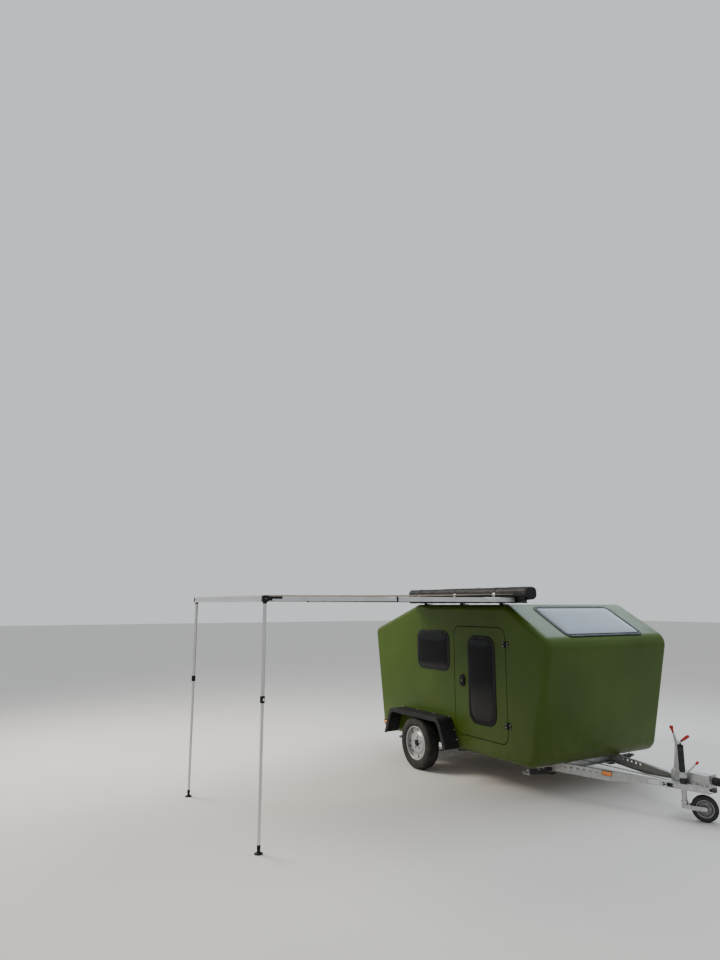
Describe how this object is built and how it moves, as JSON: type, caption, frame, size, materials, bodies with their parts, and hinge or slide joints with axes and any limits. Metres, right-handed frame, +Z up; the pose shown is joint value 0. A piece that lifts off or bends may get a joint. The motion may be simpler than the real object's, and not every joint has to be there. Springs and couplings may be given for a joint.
{
  "type": "teardrop trailer",
  "caption": "Compact moulded teardrop camping trailer with side doors, rear hatch, drawbar, nose wheel and side awning.",
  "frame": {"origin": "on the floor, under the middle of the parked trailer's whole bounding box", "axes": "+X forward to the coupling, +Y to the trailer's left, +Z up; the awning is out on the right, -Y"},
  "size_m": [4.171, 4.5059, 1.93],
  "materials": {
    "shell": "satin moulded fibreglass, olive green",
    "black_plastic": "grained moulded plastic",
    "glazing": "dark tinted acrylic in a black frame",
    "galvanised": "hot-dip galvanised",
    "dark_steel": "black painted",
    "cast": "zinc plated casting",
    "tyre_rubber": "road tyre",
    "rubber": "soft rubber",
    "rim_steel": "silver painted",
    "red_grip": "red plastic",
    "aluminium": "anodised extrusion",
    "awning_fabric": "coated canvas",
    "case_fabric": "coated cover cloth",
    "lamp": "red and amber lens",
    "plywood": "varnished plywood",
    "mattress_cloth": "woven cover",
    "board": "blank plate"
  },
  "bodies": {
    "trailer": {"side_wall_right": "shell", "side_wall_left": "shell", "front_panel": "shell", "front_slope": "shell", "roof_panel": "shell", "rear_slope": "shell", "rear_frame": "shell", "floor_panel": "plywood", "side_windows": "glazing", "front_window": "glazing", "body_hinges": "dark_steel", "chassis_rail_right": "galvanised", "chassis_rail_left": "galvanised", "cross_members": "galvanised", "axle_beam": "galvanised", "swing_arm_right": "cast", "swing_arm_left": "cast", "mudguard_right": "black_plastic", "mudguard_left": "black_plastic", "corner_steadies": "dark_steel", "overrun_housing": "galvanised", "drawtube_bellows": "rubber", "coupling_head": "cast", "handbrake_lever": "galvanised", "red_grips": "red_grip", "nose_clamp": "galvanised", "nose_outer_tube": "dark_steel", "bulkhead": "plywood", "galley_shelf": "plywood", "mattress": "mattress_cloth", "rear_lamps": "lamp", "number_board": "board", "awning_case": "case_fabric", "awning_brackets": "aluminium", "awning_arms": "aluminium", "awning_bar": "aluminium", "awning_cloth": "awning_fabric", "awning_leg_sleeves": "aluminium"},
    "door_right": {"door_right": "shell", "door_window_right": "glazing"},
    "door_left": {"door_left": "shell", "door_window_left": "glazing"},
    "rear_hatch": {"rear_hatch": "shell"},
    "wheel_right": {"tyre_right": "tyre_rubber", "rim_right": "rim_steel"},
    "wheel_left": {"tyre_left": "tyre_rubber", "rim_left": "rim_steel"},
    "nose_slide": {"nose_slide_tube": "galvanised"},
    "nose_fork": {"nose_fork": "galvanised"},
    "nose_wheel": {"nose_tyre": "rubber", "nose_rim": "rim_steel"},
    "awning_leg_rear": {"awning_leg_rear": "aluminium"},
    "awning_leg_front": {"awning_leg_front": "aluminium"}
  },
  "joints": [
    {"name": "wheel_right_spin", "type": "hinge", "parent": "trailer", "child": "wheel_right", "pos_m": [-1.01251, 0.275, 0.27], "axis": [0, 1, 0], "continuous": true},
    {"name": "wheel_left_spin", "type": "hinge", "parent": "trailer", "child": "wheel_left", "pos_m": [-1.01251, 2.159, 0.27], "axis": [0, 1, 0], "continuous": true},
    {"name": "door_right_swing", "type": "hinge", "parent": "trailer", "child": "door_right", "pos_m": [0.30249, 0.354, 0.623], "axis": [0, 0, 1], "range_deg": [0, 105]},
    {"name": "door_left_swing", "type": "hinge", "parent": "trailer", "child": "door_left", "pos_m": [0.30249, 2.08, 0.623], "axis": [0, 0, -1], "range_deg": [0, 105]},
    {"name": "rear_hatch_lift", "type": "hinge", "parent": "trailer", "child": "rear_hatch", "pos_m": [-2.07649, 1.217, 1.35231], "axis": [0, 1, 0], "range_deg": [0, 80]},
    {"name": "nose_lift", "type": "slide", "parent": "trailer", "child": "nose_slide", "axis": [0, 0, 1], "range_m": [-0.12, 0.024]},
    {"name": "nose_swivel", "type": "hinge", "parent": "nose_slide", "child": "nose_fork", "pos_m": [1.56249, 1.135, 0.15], "axis": [0, 0, 1], "continuous": true},
    {"name": "nose_wheel_spin", "type": "hinge", "parent": "nose_fork", "child": "nose_wheel", "pos_m": [1.68222, 1.22199, 0.104], "axis": [-0.5878, 0.809, 0], "continuous": true},
    {"name": "awning_leg_rear_slide", "type": "slide", "parent": "trailer", "child": "awning_leg_rear", "axis": [0, 0, 1], "range_m": [-0.25, 0.35]},
    {"name": "awning_leg_front_slide", "type": "slide", "parent": "trailer", "child": "awning_leg_front", "axis": [0, 0, 1], "range_m": [-0.25, 0.35]}
  ]
}
